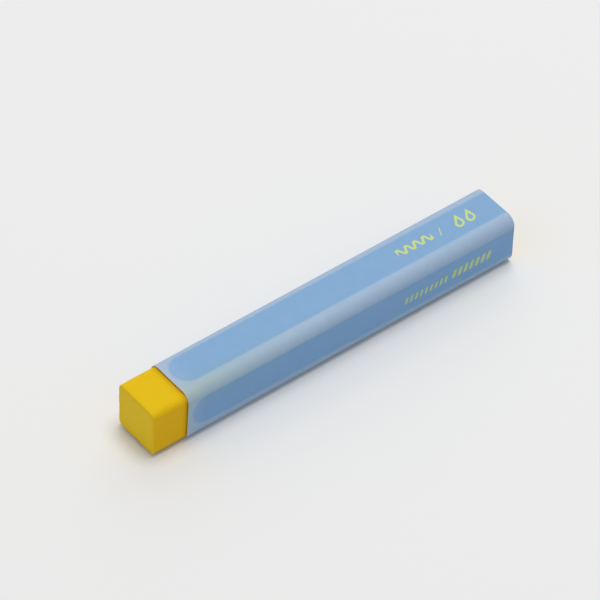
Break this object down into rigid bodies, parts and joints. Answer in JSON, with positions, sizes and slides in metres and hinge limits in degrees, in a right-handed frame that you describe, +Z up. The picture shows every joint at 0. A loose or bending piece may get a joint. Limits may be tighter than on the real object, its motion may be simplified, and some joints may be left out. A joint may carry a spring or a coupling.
{
  "type": "watercolor pastel",
  "caption": "Square stick of yellow watercolor pastel in a light blue printed paper sleeve that leaves its drawing end bare.",
  "frame": {"origin": "centre of the object's length and width, on the surface that it rests on", "axes": "+X along the stick, from its bare end to its wrapped end; +Z up; the sleeve's glued seam faces +Y"},
  "size_m": [0.07, 0.0094, 0.0094],
  "materials": {
    "pastel": "matt, smooth moulded pigment stick, slightly dusty on its drawing end",
    "printed_paper": "satin coated paper, light blue with mid-blue round-ended panels"
  },
  "bodies": {
    "root": {"pastel_stick": "pastel", "paper_sleeve": "printed_paper"}
  },
  "joints": []
}
